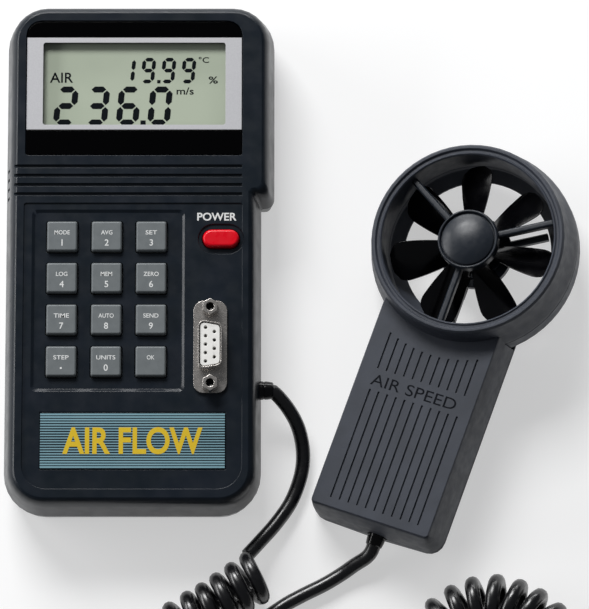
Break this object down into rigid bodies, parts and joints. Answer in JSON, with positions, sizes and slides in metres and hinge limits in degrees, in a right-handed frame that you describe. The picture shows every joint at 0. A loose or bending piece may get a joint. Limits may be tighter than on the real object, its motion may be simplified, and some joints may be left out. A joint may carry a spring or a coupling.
{
  "type": "vane anemometer",
  "caption": "Handheld vane anemometer: a meter with keypad, display and serial port, and a ducted vane probe on a curly cord.",
  "frame": {"origin": "middle of the meter's flat back, which lies on the surface", "axes": "+Z out of the meter's face, +Y towards its display end, +X to the right of the keypad, where the probe lies"},
  "size_m": [0.1911, 0.2822, 0.0353],
  "materials": {
    "case_plastic": "fine matte texture, blue-black",
    "probe_plastic": "fine matte texture, dark grey",
    "gloss_black": "glossy black",
    "window_black": "polished black",
    "silver_print": "silver grey print under gloss",
    "lcd_glass": "grey-green liquid crystal display",
    "key_grey": "grey, printed in white",
    "button_red": "red, satin",
    "connector_metal": "tin-plated",
    "insulator_white": "off-white",
    "label_film": "printed film, striped",
    "circuit_board": "green solder mask",
    "silicone": "grey silicone rubber",
    "battery_jacket": "printed steel jacket",
    "screw_steel": "plain steel",
    "cord_jacket": "glossy black cord jacket"
  },
  "bodies": {
    "meter": {"front_shell": "case_plastic", "back_shell": "case_plastic", "case_screw_1": "screw_steel", "case_screw_2": "screw_steel", "case_screw_3": "screw_steel", "case_screw_4": "screw_steel", "window_panel": "window_black", "power_switch": "window_black", "processor_chip": "window_black", "display_bezel": "silver_print", "lcd_glass": "lcd_glass", "lcd_connector_strip": "silicone", "keypad_mat": "silicone", "serial_port_flange": "connector_metal", "jackscrew_upper": "connector_metal", "jackscrew_lower": "connector_metal", "serial_port_insulator": "insulator_white", "label_plate": "label_film", "main_board": "circuit_board", "battery": "battery_jacket", "battery_snap": "gloss_black", "meter_gland": "gloss_black", "meter_lead": "cord_jacket", "curly_cord": "cord_jacket", "probe_lead": "cord_jacket"},
    "probe": {"probe_front_shell": "probe_plastic", "probe_back_shell": "probe_plastic", "probe_gland": "gloss_black", "sensor_board": "circuit_board", "front_bridge": "gloss_black", "rear_bridge": "gloss_black", "hub_cap": "gloss_black", "front_bearing": "screw_steel", "rear_bearing": "screw_steel", "pickup_sensor": "window_black", "probe_screw_1": "screw_steel", "probe_screw_2": "screw_steel", "probe_screw_3": "screw_steel", "probe_screw_4": "screw_steel"},
    "vane": {"impeller": "gloss_black", "impeller_shaft": "screw_steel"},
    "power_button": {"power_button": "button_red"},
    "battery_door": {"battery_door": "case_plastic"},
    "key_01": {"key_01": "key_grey"},
    "key_02": {"key_02": "key_grey"},
    "key_03": {"key_03": "key_grey"},
    "key_04": {"key_04": "key_grey"},
    "key_05": {"key_05": "key_grey"},
    "key_06": {"key_06": "key_grey"},
    "key_07": {"key_07": "key_grey"},
    "key_08": {"key_08": "key_grey"},
    "key_09": {"key_09": "key_grey"},
    "key_10": {"key_10": "key_grey"},
    "key_11": {"key_11": "key_grey"},
    "key_12": {"key_12": "key_grey"}
  },
  "joints": [
    {"name": "key_01_press", "type": "slide", "parent": "meter", "child": "key_01", "axis": [0, 0, -1], "range_m": [0, 0.0012], "stiffness_N_per_m": 250, "springref_m": -0.0004},
    {"name": "key_02_press", "type": "slide", "parent": "meter", "child": "key_02", "axis": [0, 0, -1], "range_m": [0, 0.0012], "stiffness_N_per_m": 250, "springref_m": -0.0004},
    {"name": "key_03_press", "type": "slide", "parent": "meter", "child": "key_03", "axis": [0, 0, -1], "range_m": [0, 0.0012], "stiffness_N_per_m": 250, "springref_m": -0.0004},
    {"name": "key_04_press", "type": "slide", "parent": "meter", "child": "key_04", "axis": [0, 0, -1], "range_m": [0, 0.0012], "stiffness_N_per_m": 250, "springref_m": -0.0004},
    {"name": "key_05_press", "type": "slide", "parent": "meter", "child": "key_05", "axis": [0, 0, -1], "range_m": [0, 0.0012], "stiffness_N_per_m": 250, "springref_m": -0.0004},
    {"name": "key_06_press", "type": "slide", "parent": "meter", "child": "key_06", "axis": [0, 0, -1], "range_m": [0, 0.0012], "stiffness_N_per_m": 250, "springref_m": -0.0004},
    {"name": "key_07_press", "type": "slide", "parent": "meter", "child": "key_07", "axis": [0, 0, -1], "range_m": [0, 0.0012], "stiffness_N_per_m": 250, "springref_m": -0.0004},
    {"name": "key_08_press", "type": "slide", "parent": "meter", "child": "key_08", "axis": [0, 0, -1], "range_m": [0, 0.0012], "stiffness_N_per_m": 250, "springref_m": -0.0004},
    {"name": "key_09_press", "type": "slide", "parent": "meter", "child": "key_09", "axis": [0, 0, -1], "range_m": [0, 0.0012], "stiffness_N_per_m": 250, "springref_m": -0.0004},
    {"name": "key_10_press", "type": "slide", "parent": "meter", "child": "key_10", "axis": [0, 0, -1], "range_m": [0, 0.0012], "stiffness_N_per_m": 250, "springref_m": -0.0004},
    {"name": "key_11_press", "type": "slide", "parent": "meter", "child": "key_11", "axis": [0, 0, -1], "range_m": [0, 0.0012], "stiffness_N_per_m": 250, "springref_m": -0.0004},
    {"name": "key_12_press", "type": "slide", "parent": "meter", "child": "key_12", "axis": [0, 0, -1], "range_m": [0, 0.0012], "stiffness_N_per_m": 250, "springref_m": -0.0004},
    {"name": "power_button_press", "type": "slide", "parent": "meter", "child": "power_button", "axis": [0, 0, -1], "range_m": [0, 0.0014], "stiffness_N_per_m": 250, "springref_m": -0.0004},
    {"name": "battery_door_slide", "type": "slide", "parent": "meter", "child": "battery_door", "axis": [0, -1, 0], "range_m": [0, 0.024]},
    {"name": "probe_lift", "type": "slide", "parent": "meter", "child": "probe", "axis": [0, 0, 1], "range_m": [0, 0.06], "deforming": ["probe_lead"]},
    {"name": "vane_spin", "type": "hinge", "parent": "probe", "child": "vane", "pos_m": [0.10906, 0.00309, 0.01699], "axis": [-0.2034, 0.074, 0.9763], "continuous": true}
  ]
}
